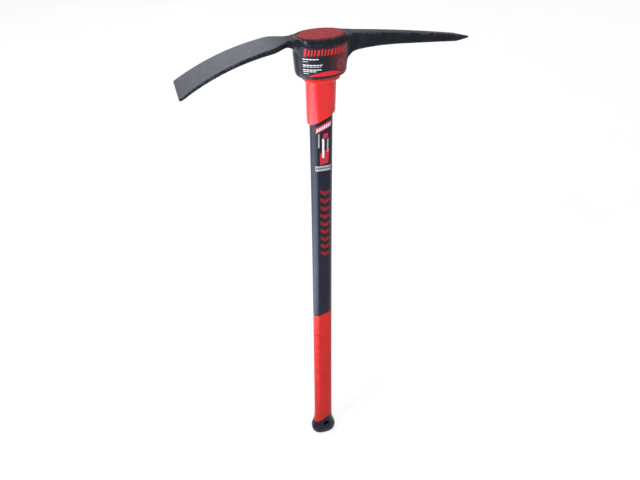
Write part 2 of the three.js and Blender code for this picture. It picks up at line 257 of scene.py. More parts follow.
def faceted(angles, a, b, exponent, planes=(), crispness=40):
    """Radii, at polar angles, of an oval trimmed by upright planes on all four sides.

    Each plane has a distance from the axis and a turn in degrees away from the front.
    """
    c, s = np.abs(np.cos(angles)), np.abs(np.sin(angles))
    share = (c / a) ** exponent + (s / b) ** exponent
    inverse = share ** (crispness / exponent)
    for distance, turn in planes:
        tilt = math.radians(turn)
        inverse = inverse + ((math.sin(tilt) * c + math.cos(tilt) * s) / distance) ** crispness
    return inverse ** (-1 / crispness)


def polar_ring(reach, z, angles, slope=0.0):
    x, y = reach * np.cos(angles), reach * np.sin(angles)
    return np.stack([x, y, z + slope * x], axis=-1)


def handle_outline(z, angles, offset=0.0):
    """The handle's outside as (x, y): an oval with a flat front and flat flanks beside it."""
    a, b = handle_section(z, offset)
    planes = ((FRONT_FLAT * a, 0), (FLANK_FLAT * a, FLANK_TURN))
    reach = faceted(angles, a, b, HANDLE_EXPONENT, planes)
    return reach * np.cos(angles), reach * np.sin(angles)


def handle_ring(z, angles, slope=0.0, inset=0.0, notch=0.0):
    """A ring round the handle, slanted along X. notch sinks the adze-side flanks by about that much."""
    # Each point of a slanted ring takes the section at its own height.
    x, _ = handle_outline(z, angles, -inset)
    height = z + slope * x
    x, y = handle_outline(height, angles, -inset)
    if notch:
        flank = np.exp(-((np.abs(np.abs(angles - math.pi) - NOTCH_MIDDLE) / NOTCH_SPREAD) ** 4))
        kept = 1 - notch * flank / FLANK_REACH
        x, y = x * kept, y * kept
    return np.stack([x, y, z + slope * x], axis=-1)


def eye_section(z, ledge=0.0, offset=0.0):
    inset = EYE_TAPER * (BOSS_TOP - z) + ledge - offset
    return EYE_HALF_LENGTH - inset, EYE_HALF_WIDTH - inset


def arc_height(arc, x):
    return arc[1] + np.sqrt(arc[2] ** 2 - (x - arc[0]) ** 2)


def along_arc(arc, first, last, count):
    """Points of an arc between two x, as a table of x and height."""
    x = np.linspace(first, last, count)
    return np.stack([x, arc_height(arc, x)], axis=1)


def bezier(*controls, count=14):
    """Points of a Bezier curve with any number of control points."""
    t = np.linspace(0, 1, count)[:, None]
    level = [np.asarray(c, float)[None, :] for c in controls]
    while len(level) > 1:
        level = [p * (1 - t) + q * t for p, q in zip(level, level[1:])]
    return level[0]


def outline(*parts):
    """A curve as a table of x and value, from points and Bezier pieces that go towards +X."""
    return np.concatenate([np.atleast_2d(np.asarray(p, float)) for p in parts])


def read_off(table, x):
    return np.interp(x, table[:, 0], table[:, 1])


# ---------------------------------------------------------------- head

# Blade outlines: x against height, or against half width.
ADZE_EDGE_HEIGHT = arc_height(ADZE_TOP_ARC, -225)
ADZE_TOP = outline(along_arc(ADZE_TOP_ARC, -225, -40, 60), (-30, arc_height(ADZE_TOP_ARC, -40)))
ADZE_BOTTOM = outline(
    (-225, ADZE_EDGE_HEIGHT - 1.2),
    (-224, ADZE_EDGE_HEIGHT - 2.4),
    along_arc(ADZE_BOTTOM_ARC, -220, -62, 50),
    bezier((-62, arc_height(ADZE_BOTTOM_ARC, -62)), (-52, 903), (-45, 897))[1:],
    (-38, 890),
    (-30, 890),
)
ADZE_HALF_WIDTH = outline(
    (-227, 36.9),
    bezier((-84, 28.8), (-68, 27.8), (-60, 12), (-49, 12)),
    bezier((-49, 12), (-41, 12), (-32, 19))[1:],
    (-30, 19),
)
PICK_TOP = outline(
    (30, arc_height(PICK_TOP_ARC, 44)),
    along_arc(PICK_TOP_ARC, 44, 222, 30),
    (249, 883.3),
)
PICK_BOTTOM = outline(
    (30, 867),
    bezier((38, 867), (42, 880.5), (46, 884.6), (62, 886)),
    bezier((62, 886), (90, 888.8), (130, 886.2))[1:],
    (227, 878.7),
    (249, 881.0),
)
PICK_HALF_WIDTH = outline(bezier((30, 19), (42, 11), (58, 9.9)), (227, 4.7), (250, 1.1))


def rounded_box_ring(x, half_width, low, high, radius):
    """A ring across X: a rectangle with rounded corners, anticlockwise seen from +X."""
    corner_steps, side_steps = 5, 6
    radius = min(radius, 0.45 * (high - low), 0.9 * half_width)
    corners = []
    for quarter, (side, up) in enumerate([(1, 1), (-1, 1), (-1, -1), (1, -1)]):
        cy = side * (half_width - radius)
        cz = high - radius if up > 0 else low + radius
        for step in range(corner_steps):
            angle = math.pi / 2 * (quarter + step / (corner_steps - 1))
            corners.append((cy + radius * math.cos(angle), cz + radius * math.sin(angle)))
    points = []
    for k, start in enumerate(corners):
        points.append(start)
        if k % corner_steps == corner_steps - 1:
            end = corners[(k + 1) % len(corners)]
            for step in range(1, side_steps):
                t = step / side_steps
                points.append((start[0] + t * (end[0] - start[0]), start[1] + t * (end[1] - start[1])))
    return [(x, y, z) for y, z in points]


def blade_rings(stations, half_width, low, high, radius):
    """Rounded rectangles across X, read off the blade's outlines at each station."""
    rings = []
    for x in stations:
        width, bottom, top = (float(read_off(table, x)) for table in (half_width, low, high))
        rings.append(rounded_box_ring(x, width, bottom, top, radius))
    return rings


def spans(*ranges):
    """Several runs of evenly spaced stations, each from its first, last and count."""
    return np.concatenate([np.linspace(*numbers) for numbers in ranges])


def raw_forging():
    """Boss, adze and pick as three closed shells in one mesh."""
    angles = ring_angles(160)
    heights = spans((BOSS_BOTTOM, 860, 12), (864, 900, 9), (903, BOSS_TOP, 16))
    boss = loft("boss", [ring(boss_section(z), BOSS_EXPONENT, z, angles) for z in heights])
    adze_x = np.concatenate([[-225, -224.4, -223.6], spans((-222, -86, 48), (-84, -30, 50))])
    adze = loft("adze", blade_rings(adze_x, ADZE_HALF_WIDTH, ADZE_BOTTOM, ADZE_TOP, 1.3))
    pick_x = spans((30, 62, 36), (66, 222, 40), (225, 249, 9))
    pick = loft("pick", blade_rings(pick_x, PICK_HALF_WIDTH, PICK_BOTTOM, PICK_TOP, 1.1))
    points, faces, start = [], [], 0
    for part in (boss, adze, pick):
        part_points, _ = mesh_arrays(part.data)
        points.append(part_points)
        faces += [tuple(start + v for v in face.vertices) for face in part.data.polygons]
        start += len(part_points)
        bpy.data.objects.remove(part)
    return add_mesh("forged_head", np.concatenate(points), faces)


def mesh_arrays(mesh):
    """A mesh's points in millimetres, and the two ends of each edge."""
    co = np.zeros(len(mesh.vertices) * 3)
    mesh.vertices.foreach_get("co", co)
    edges = np.zeros(len(mesh.edges) * 2, int)
    mesh.edges.foreach_get("vertices", edges)
    return co.reshape(-1, 3) / MM, edges.reshape(-1, 2)


def vertex_normals(mesh):
    normals = np.zeros(len(mesh.vertices) * 3)
    mesh.vertices.foreach_get("normal", normals)
    return normals.reshape(-1, 3)


def neighbour_mean(values, edges, degree):
    """Each vertex's mean over its neighbours, for one column or several."""
    values = values.reshape(len(degree), -1)
    columns = []
    for column in values.T:
        total = np.bincount(edges[:, 0], column[edges[:, 1]], len(degree))
        total += np.bincount(edges[:, 1], column[edges[:, 0]], len(degree))
        columns.append(total / degree)
    return np.stack(columns, axis=1)


def boss_distance(points):
    """How far points are outside the boss's side wall, roughly."""
    a, b = boss_section(np.clip(points[:, 2], BOSS_BOTTOM, BOSS_TOP))
    powers = np.abs(points[:, 0] / a) ** BOSS_EXPONENT + np.abs(points[:, 1] / b) ** BOSS_EXPONENT
    share = powers ** (1 / BOSS_EXPONENT)
    reach = np.hypot(points[:, 0], points[:, 1])
    return reach * (1 - 1 / np.maximum(share, 0.2))


def blade_distance(points, half_width, low, high):
    x, y, z = points.T
    beside = np.abs(y) - read_off(half_width, x)
    above = z - read_off(high, x)
    below = read_off(low, x) - z
    return np.maximum(np.maximum(beside, above), below)


def fillet_weight(points):
    """1 where a blade meets the boss, falling to 0 at the fillet's reach."""
    on_boss = boss_distance(points)
    weight = np.zeros(len(points))
    # The adze's side and reach, then the pick's.
    for side, reach, shape in (
        (-1, 6.5, (ADZE_HALF_WIDTH, ADZE_BOTTOM, ADZE_TOP)),
        (1, 3.2, (PICK_HALF_WIDTH, PICK_BOTTOM, PICK_TOP)),
    ):
        near = np.maximum(blade_distance(points, *shape), on_boss)
        here = (1 - smoothstep(0.3 * reach, reach, near)) * (points[:, 0] * side > 28)
        weight = np.maximum(weight, here)
    return weight * (1 - smoothstep(908, 911.5, points[:, 2]))


def relax(points, edges, weight, rounds):
    degree = np.bincount(edges.ravel(), minlength=len(points)).astype(float)
    step = 0.5 * weight[:, None]
    for _ in range(rounds):
        points = points + step * (neighbour_mean(points, edges, degree) - points)
    return points


def under_label(points):
    """True where the front label lies over the boss, with 2 mm to spare above and below it."""
    x, y, z = points.T
    low, high = HEAD_LABEL_EDGES
    return (y < 0) & (np.abs(x) < 37.5) & (z > low - 2) & (z < high + 2)


def set_points(obj, points):
    obj.data.vertices.foreach_set("co", (points * MM).ravel())
    obj.data.update()


def shape_forging(obj, voxel):
    """Melts the shells into one body, rounds their joints and keeps the label's seat clear."""
    remesh = obj.modifiers.new("remesh", "REMESH")
    remesh.mode = "VOXEL"
    remesh.voxel_size = voxel * MM
    remesh.use_smooth_shade = True
    bpy.context.view_layer.update()
    with_modifiers(obj)
    points, edges = mesh_arrays(obj.data)
    crisp = np.maximum(smoothstep(-208, -216, points[:, 0]), smoothstep(208, 218, points[:, 0]))
    points = relax(points, edges, 1 - 0.7 * crisp, 3)
    points = relax(points, edges, fillet_weight(points), round(60 / voxel**2))
    set_points(obj, points)
    points = points + SMOOTHING_LOSS * vertex_normals(obj.data)
    proud = np.where(under_label(points), np.maximum(boss_distance(points), 0), 0)
    outward = points * [1, 1, 0]
    outward /= np.maximum(np.linalg.norm(outward, axis=1, keepdims=True), 1e-6)
    set_points(obj, points - outward * proud[:, None])
    return obj


def eye_cutter():
    """The eye, with the ledge that the lock plate rests on."""
    angles = ring_angles(128)
    # Height, ledge and chamfer of each ring.
    stations = [
        (846, SEAT_LEDGE, 0),
        (PLATE_SEAT, SEAT_LEDGE, 0),
        (PLATE_SEAT, 0, 0),
        (BOSS_TOP - 0.7, 0, 0),
        (BOSS_TOP + 0.3, 0, 0.9),
        (920, 0, 0.9),
    ]
    rings = []
    for z, ledge, chamfer in stations:
        rings.append(ring(eye_section(min(z, BOSS_TOP), ledge, chamfer), 2, z, angles))
    return loft("eye_cutter", rings)


def mark_wear(obj, reach):
    """A vertex attribute that is high on convex edges, where paint rubs off first."""
    points, edges = mesh_arrays(obj.data)
    degree = np.maximum(np.bincount(edges.ravel(), minlength=len(points)), 1).astype(float)
    lift = ((points - neighbour_mean(points, edges, degree)) * vertex_normals(obj.data)).sum(axis=1)
    wear = np.clip(lift / reach, 0, 1)
    for _ in range(3):
        wear = 0.5 * wear + 0.5 * neighbour_mean(wear, edges, degree)[:, 0]
    attribute = obj.data.attributes.new("wear", "FLOAT", "POINT")
    attribute.data.foreach_set("value", np.clip(wear * 2, 0, 1).astype(np.float32))


def make_head(material):
    voxel = VOXEL
    head = shape_forging(raw_forging(), voxel)
    cut(head, eye_cutter())
    mark_wear(head, 0.25 * voxel)
    smooth(head, math.radians(58))
    head.data.materials.clear()
    head.data.materials.append(material)
    present(head, "mattock_head")


# ---------------------------------------------------------------- pieces in the eye


# The plug's foot, over the lock plate, and the end of the rod's room in it.
PLUG_FOOT = 886.6
ROD_ROOM_TOP = 900.3


def make_plug(material):
    angles = ring_angles(144)
    rings = [ring((CORE_HOLE, CORE_HOLE), 2, z, angles) for z in (ROD_ROOM_TOP, PLUG_FOOT)]
    for z in (PLUG_FOOT, 900.0, BOSS_TOP):
        rings.append(ring(eye_section(z, 0, -GAP), 2, z, angles))
    # Rounded rim, a moulded groove inside it, then a very slightly crowned face: inset and height.
    top = [(0.0, 913.3), (0.15, 913.65), (0.5, 913.85), (1.4, 913.85), (1.8, 913.3), (2.5, 913.3)]
    top += [(2.9, 913.8), (6.0, 913.87), (12.0, 913.95), (19.0, 914.0)]
    for inset, z in top:
        rings.append(ring(eye_section(BOSS_TOP, 0, -GAP - inset), 2, z, angles))
    plug = loft("red_eye_plug", rings, material, sharp_angle=math.radians(30))
    present(plug, "eye_plug")


# ---------------------------------------------------------------- handle


def make_jacket(material):
    """The slate tube: recessed under the grip, full size above, with its spigot in the head's eye."""
    angles = ring_angles(144)
    joint, slope = GRIP_TOP_EDGE
    rings = []
    for z in np.linspace(SKIRT_TOP + GAP, 330, 14):
        rings.append(ring(handle_section(z, -GRIP_WALL - GAP), HANDLE_EXPONENT, z, angles))
    rings.append(ring(handle_section(joint, -GRIP_WALL - GAP), HANDLE_EXPONENT, joint, angles, slope))
    for step in (0.0, 0.2, 0.5, 0.8):
        rings.append(handle_ring(joint + step, angles, slope, edge_inset(step, 0.8)))
    for z in np.linspace(362, 846, 90):
        rings.append(handle_ring(z, angles, slope * (1 - smoothstep(360, 400, z))))
    for z in (BOSS_BOTTOM + GAP, PLATE_SEAT - GAP):
        rings.append(ring(eye_section(z, SEAT_LEDGE, -GAP), 2, z, angles))
    for z in (PLATE_SEAT - GAP, SKIRT_TOP + GAP):
        rings.append(ring((CORE_HOLE, CORE_HOLE), 2, z, angles))
    jacket = loft("slate_jacket", rings, material, closed=True)
    present(jacket, "handle_jacket")


# The notches on the grip's adze-side flanks. Middle and spread are angles away from -X.
NOTCH_COUNT = 8
NOTCH_PITCH = 34.6
NOTCH_LOWEST = 57.0
NOTCH_DEPTH = 1.3
NOTCH_MIDDLE = math.radians(40)
NOTCH_SPREAD = math.radians(21)
# The flanks' distance from the axis.
FLANK_REACH = 16.0


def grip_levels():
    """The grip's outer rings from bottom to top: height, slope, edge inset and notch depth."""
    low, low_slope = CAP_EDGE[0] + GAP, CAP_EDGE[1]
    high, high_slope = GRIP_TOP_EDGE[0] - GAP, GRIP_TOP_EDGE[1]
    levels = [(low + d, low_slope, edge_inset(d, 0.7), 0) for d in (0, 0.1, 0.3, 0.7)]
    for index in range(NOTCH_COUNT):
        # The lowest notch slants a little, between the slanted joint and the level notches.
        z, slope = (NOTCH_LOWEST + 4, 0.3) if index == 0 else (NOTCH_LOWEST + index * NOTCH_PITCH, 0)
        for dz, share in ((-1.5, 0), (-1.1, 0.4), (-0.5, 1), (0.3, 1), (0.9, 0.5), (1.5, 0)):
            levels.append((z + dz, slope, 0, share * NOTCH_DEPTH))
        if index < NOTCH_COUNT - 1:
            for share in np.linspace(0.3, 0.88, 5):
                levels.append((NOTCH_LOWEST + (index + share) * NOTCH_PITCH, 0, 0, 0))
    top_notch = NOTCH_LOWEST + (NOTCH_COUNT - 1) * NOTCH_PITCH + 2
    for share in (0.2, 0.4, 0.6, 0.8):
        levels.append((top_notch + share * (high - top_notch), high_slope * share, 0, 0))
    return levels + [(high - d, high_slope, edge_inset(d, 0.7), 0) for d in (0.7, 0.3, 0.1, 0)]


def make_grip(material):
    angles = ring_angles(160)
    rings = [handle_ring(z, angles, slope, inset, notch) for z, slope, inset, notch in grip_levels()]
    inner = [(GRIP_TOP_EDGE[0] - GAP, GRIP_TOP_EDGE[1])]
    inner += [(z, 0.0) for z in np.linspace(325, 95, 8)]
    inner += [(CAP_EDGE[0] + GAP, CAP_EDGE[1])]
    for z, slope in inner:
        rings.append(ring(inner_section(z, -GRIP_WALL), HANDLE_EXPONENT, z, angles, slope))
    grip = loft("red_grip", rings, material, closed=True, sharp_angle=math.radians(24))
    present(grip, "grip_sleeve")


COLLAR_EXPONENT = 2.7
COLLAR_FLANK_TURN = 27
COLLAR_TOP = 844
# At the lower edge, and how much more at the top.
COLLAR_HALF_LENGTH = (23.0, 1.2)
PANEL_HALF_WIDTH = (8.4, 4.6)
PANEL_SINK = 0.15
# The flats at the ends: share of the half length, and turn from the front in degrees.
COLLAR_CORNER = (0.965, 50)
# The flange under the head, from its foot up: height, half length and half width.
FLANGE = (
    (841.6, 24.6, 18.9),
    (842.8, 25.8, 19.8),
    (843.7, 27.6, 20.8),
    (844.5, 29.5, 21.9),
    (845.4, 30.3, 22.4),
    (849.6, 30.3, 22.4),
    (850.4, 30.0, 22.1),
    (850.7, 29.4, 21.6),
)


def collar_ring(z, angles, inset=0.0, slope=0.0):
    """A collar ring: an oval with a flat panel at the front and the back, and flat flanks beside it.

    The panel widens upwards, so its edges lean.
    """
    share = np.clip((z - COLLAR_EDGE[0]) / (COLLAR_TOP - COLLAR_EDGE[0]), 0, 1)
    half = COLLAR_HALF_LENGTH[0] + COLLAR_HALF_LENGTH[1] * share
    front = half * OVAL_RATIO - PANEL_SINK
    panel_half = PANEL_HALF_WIDTH[0] + PANEL_HALF_WIDTH[1] * share
    turn = math.radians(COLLAR_FLANK_TURN)
    flank = math.sin(turn) * panel_half + math.cos(turn) * front
    corner, corner_turn = COLLAR_CORNER
    planes = ((front, 0), (flank, COLLAR_FLANK_TURN), (corner * half, corner_turn))
    reach = faceted(angles, half, half * OVAL_RATIO, COLLAR_EXPONENT, planes, 90) - inset
    return polar_ring(reach, z, angles, slope)


def make_collar(material):
    angles = ring_angles(360)
    bottom, slope = COLLAR_EDGE
    rings = []
    for d in (0, 0.12, 0.4, 0.9, 1.5):
        rings.append(collar_ring(bottom + d, angles, edge_inset(d, 1.5), slope))
    for z in np.linspace(781, 840, 26):
        rings.append(collar_ring(z, angles, 0, slope * (1 - smoothstep(778, 822, z))))
    for z, a, b in FLANGE:
        rings.append(polar_ring(faceted(angles, a, b, COLLAR_EXPONENT), z, angles))
    for z, lean in ((FLANGE[-1][0], 0.0), (820.0, 0.0), (bottom, slope)):
        bore = faceted(angles, *handle_section(z, GAP + 0.1), HANDLE_EXPONENT)
        rings.append(polar_ring(bore, z, angles, lean))
    collar = loft("red_collar", rings, material, closed=True, sharp_angle=math.radians(24))
    present(collar, "overstrike_collar")


# The floor of the rod's room in the cap.
ROD_ROOM_FLOOR = 41.7
# The hang hole's middle as x and z, and its profile through the cap: y and radius.
HANG_HOLE = (3, 31)
HOLE_RIM = ((14.2, 5.6), (15.2, 6.2), (16.2, 7.2), (24, 9.5))


def hole_cutter():
    angles = ring_angles(64)
    profile = [(-y, radius) for y, radius in reversed(HOLE_RIM)] + list(HOLE_RIM)
    rings = []
    for y, radius in profile:
        x = HANG_HOLE[0] + radius * np.cos(angles)
        z = HANG_HOLE[1] - radius * np.sin(angles)
        rings.append(np.stack([x, np.full(len(x), y), z], axis=-1))
    return loft("hole_cutter", rings)


def make_cap(material):
    angles = ring_angles(144)
    joint, slope = CAP_EDGE
    rings = []
    for z in (0, 0.05, 0.25, 0.7, 1.4, 2.4, 3.6, 4.8, 6.0, 8, 10, 12, 14, 16, 18, 20, 22.5, 25, 27):
        rings.append(handle_ring(z, angles))
    for share in (0.3, 0.55, 0.75, 0.9):
        rings.append(handle_ring(27 + share * (joint - 27), angles, slope * share))
    for d in (0.6, 0.3, 0.1, 0):
        rings.append(handle_ring(joint - d, angles, slope, edge_inset(d, 0.6)))
    skirt = inner_section(SKIRT_TOP, -GRIP_WALL - GAP)
    rings.append(ring(skirt, HANDLE_EXPONENT, joint, angles, slope))
    rings.append(ring(skirt, HANDLE_EXPONENT, SKIRT_TOP, angles))
    for z in (SKIRT_TOP, ROD_ROOM_FLOOR):
        rings.append(ring((CORE_HOLE, CORE_HOLE), 2, z, angles))
    cap = loft("butt_knob", rings, material)
    cut(cap, hole_cutter())
    smooth(cap, math.radians(45))
    present(cap, "butt_cap")


# ---------------------------------------------------------------- labels and print


class Wrap:
    """Places points on a body's front: u is millimetres round from the middle, v is height.

    outline_at gives (x, y) of the body at a height, angles and an offset.
    """

    def __init__(self, outline_at, middle, lift):
        self.outline_at = outline_at
        self.angle = np.linspace(FRONT - 1.5, FRONT + 1.5, 601)
        x, y = outline_at(middle, self.angle, lift)
        length = np.concatenate([[0], np.cumsum(np.hypot(np.diff(x), np.diff(y)))])
        self.length = length - np.interp(FRONT, self.angle, length)

    def at(self, u, v, lift):
        x, y = self.outline_at(v, np.interp(u, self.length, self.angle), lift)
        return float(x), float(y), float(v)


# The most that a quad runs round the body in one straight piece.
INK_STEP = 0.9


class Print:
    """Thin closed patches gathered into one mesh, each with its own material."""

    def __init__(self, wrap):
        self.wrap, self.points, self.faces, self.inks = wrap, [], [], []

    def patch(self, grid, lift, thickness, ink):
        """grid is rows of (u, v). The patch is lift off the body."""
        rows, columns = len(grid), len(grid[0])
        start = len(self.points)
        for height in (lift + thickness, lift):
            self.points += [self.wrap.at(u, v, height) for row in grid for u, v in row]
        back = rows * columns
        made = []
        for r in range(rows - 1):
            for c in range(columns - 1):
                k = r * columns + c
                face = (k, k + 1, k + columns + 1, k + columns)
                made.append(face)
                made.append(tuple(back + v for v in reversed(face)))
        rim = list(range(columns))
        rim += [r * columns + columns - 1 for r in range(1, rows)]
        rim += [(rows - 1) * columns + c for c in range(columns - 2, -1, -1)]
        rim += [r * columns for r in range(rows - 2, 0, -1)]
        for k, v in enumerate(rim):
            w = rim[(k + 1) % len(rim)]
            made.append((v, back + v, back + w, w))
        self.faces += [tuple(start + v for v in face) for face in made]
        self.inks += [ink] * len(made)

    def quad(self, corners, lift, thickness, ink):
        """A patch between four corners: low left, low right, high right, high left."""
        (u0, v0), (u1, v1), (u2, v2), (u3, v3) = corners
        columns = max(1, round(max(abs(u1 - u0), abs(u2 - u3)) / INK_STEP))
        shares = np.linspace(0, 1, columns + 1)
        low = [(u0 + s * (u1 - u0), v0 + s * (v1 - v0)) for s in shares]
        high = [(u3 + s * (u2 - u3), v3 + s * (v2 - v3)) for s in shares]
        self.patch([low, high], lift, thickness, ink)

    def bar(self, u0, u1, v0, v1, lift, thickness, ink, slant=0.0):
        """An upright or slanted bar."""
        self.quad([(u0, v0), (u1, v0), (u1 + slant, v1), (u0 + slant, v1)], lift, thickness, ink)

    def build(self, name, materials):
        obj = add_mesh(name, self.points, self.faces)
        for material in materials:
            obj.data.materials.append(material)
        obj.data.polygons.foreach_set("material_index", self.inks)
        obj.data.update()
        return obj


def film_grid(half_length, low, high, radius, columns, rows):
    """A sheet's grid with rounded corners. low and high give the edges' height at u."""
    grid = []
    ends = radius * (1 - np.cos(np.linspace(0, math.pi / 2, 7)))
    u = np.concatenate(
        [
            -half_length + ends,
            np.linspace(-half_length + radius, half_length - radius, columns)[1:-1],
            half_length - ends[::-1],
        ]
    )
    for t in np.linspace(0, 1, rows + 1):
        row = []
        for x in u:
            inside = min(half_length - abs(x), radius)
            trim = radius - math.sqrt(max(0.0, radius**2 - (radius - inside) ** 2))
            bottom, top = low(x) + trim, high(x) - trim
            row.append((x, bottom + t * (top - bottom)))
        grid.append(row)
    return grid


# Thickness of the labels' film and inks, and how far off the body they lie.
FILM = 0.25
FILM_LIFT = GAP
INK = 0.05
INK_LIFT = FILM_LIFT + FILM + 0.01
TOP_INK_LIFT = INK_LIFT + INK + 0.01


def make_head_label(film, red, white, badge):
    sheet = Print(Wrap(boss_outline, 880, FILM_LIFT))
    bottom, top = HEAD_LABEL_EDGES
    grid = film_grid(HEAD_LABEL_HALF, lambda u: bottom, lambda u: top, 3.0, 40, 12)
    sheet.patch(grid, FILM_LIFT, FILM, 0)
    # A band of slanted bars in uneven heights.
    u = -34.0
    for index in range(14):
        width = 3.4 if index % 4 else 4.6
        low = 890.6 if index else 889.6
        high = 900.2 if index % 5 else 901.8
        sheet.bar(u, u + width - 1.1, low, high, INK_LIFT, INK, 1, slant=1.6)
        u += width + 1.3
    # Plain broken rules of different lengths: height, length and thickness.
    edge, gap = -36.0, 0.7
    for v, length, thick in (
        (885.3, 25, 1.5),
        (881.6, 9, 0.8),
        (876.0, 31, 1.5),
        (873.3, 29, 0.8),
        (868.6, 29, 1.5),
        (865.8, 22, 1.2),
        (862.4, 9, 0.8),
    ):
        start = edge
        while start < edge + length - 1:
            stop = min(start + 5.2, edge + length)
            sheet.bar(start, stop - gap, v - thick / 2, v + thick / 2, INK_LIFT, INK, 2)
            start = stop
    add_badge(sheet, 25.0, 873.0)
    # The red sweep at the foot, thick in the middle.
    left, right, foot = -29, 33, 857.6
    us = np.linspace(left, right, 26)
    crest = foot + 0.2 + 7.4 * np.sin(math.pi * ((us - left) / (right - left)) ** 1.15) ** 0.8
    sheet.patch([[(u, foot) for u in us], list(zip(us, crest))], INK_LIFT, INK, 1)
    label = sheet.build("head_label_print", [film, red, white, badge])
    present(label, "head_label")


def add_badge(sheet, u, v):
    """Two upright oval rings of blocks round (u, v)."""
    for radius, width, count in ((6.2, 1.2, 16), (3.4, 1.6, 10)):
        for k in range(count):
            start, stop = 2 * math.pi * k / count, 2 * math.pi * (k + 0.72) / count
            grid = []
            for r in (radius - width / 2, radius + width / 2):
                row = []
                for t in np.linspace(stop, start, 4):
                    row.append((u + r * math.cos(t), v + 1.25 * r * math.sin(t)))
                grid.append(row)
            sheet.patch(grid, INK_LIFT, INK, 3)


def make_handle_label(film, red, white, metal, silver):
    wrap = Wrap(handle_outline, 725, FILM_LIFT)
    half = 14.9

    def top(u):
        return COLLAR_EDGE[0] - 3.0 + COLLAR_EDGE[1] * u

    sheet = Print(wrap)
    sheet.patch(film_grid(half, lambda u: 681.0, top, 1.5, 16, 24), FILM_LIFT, FILM, 0)
    # Slanted band with light blocks.
    sheet.quad([(-12.8, 752.2), (13.6, 764.6), (13.6, 775.6), (-12.8, 763.2)], INK_LIFT, INK, 1)
    for k in range(8):
        u = -11.6 + 3.1 * k
        base = 754.6 + 0.47 * (u + 11.6)
        block = [(u, base), (u + 1.9, base + 0.9), (u + 2.6, base + 7.4), (u + 0.7, base + 6.5)]
        sheet.quad(block, TOP_INK_LIFT, INK, 2)
    # Two red blocks and three upright bars.
    sheet.quad([(-5.8, 694), (8.2, 697), (9.6, 724), (-6.2, 716)], INK_LIFT, INK, 1)
    sheet.quad([(-1.0, 741), (7.5, 745), (7.2, 753), (-0.2, 751)], INK_LIFT, INK, 1)
    sheet.quad([(-9.4, 726), (-6.6, 727.4), (-6.6, 753), (-9.0, 751)], INK_LIFT, INK, 3)
    sheet.quad([(5.6, 717), (8.4, 718.4), (8.4, 743), (6.0, 741)], INK_LIFT, INK, 3)
    sheet.quad([(-2.4, 707), (1.2, 707), (1.4, 741), (-2.2, 743)], TOP_INK_LIFT, INK, 2)
    # The strip at the foot, with a row of small blocks.
    sheet.quad([(-14.2, 682), (14.2, 682), (14.2, 691.8), (-14.2, 691.8)], INK_LIFT, INK, 4)
    for k in range(9):
        u = -12.9 + 3.0 * k
        sheet.bar(u, u + 2.0, 685.8, 688.6, TOP_INK_LIFT, INK, 0)
    label = sheet.build("handle_label_print", [film, red, white, metal, silver])
    present(label, "handle_label")


def make_shaft_mark(red, shade):
    """A column of plain chevrons printed on the handle, each on a slightly larger dark one."""
    mark = Print(Wrap(handle_outline, 570, 0.03))
    count, pitch, low, middle = 9, 16.4, 500.5, 3.0
    for k in range(count):
        v = low + k * pitch
        for ink, grow, lift in ((1, 0.9, 0.03), (0, 0.0, 0.07)):
            half, rise, body = 8.8 + grow, 5.2, 7.6 + 2 * grow
            shares = np.linspace(-1, 1, 21)
            foot = v - grow + rise * np.abs(shares)
            us = middle + half * shares
            mark.patch([list(zip(us, foot)), list(zip(us, foot + body))], lift, 0.03, ink)
    obj = mark.build("shaft_mark", [red, shade])
    present(obj)


# ---------------------------------------------------------------- materials


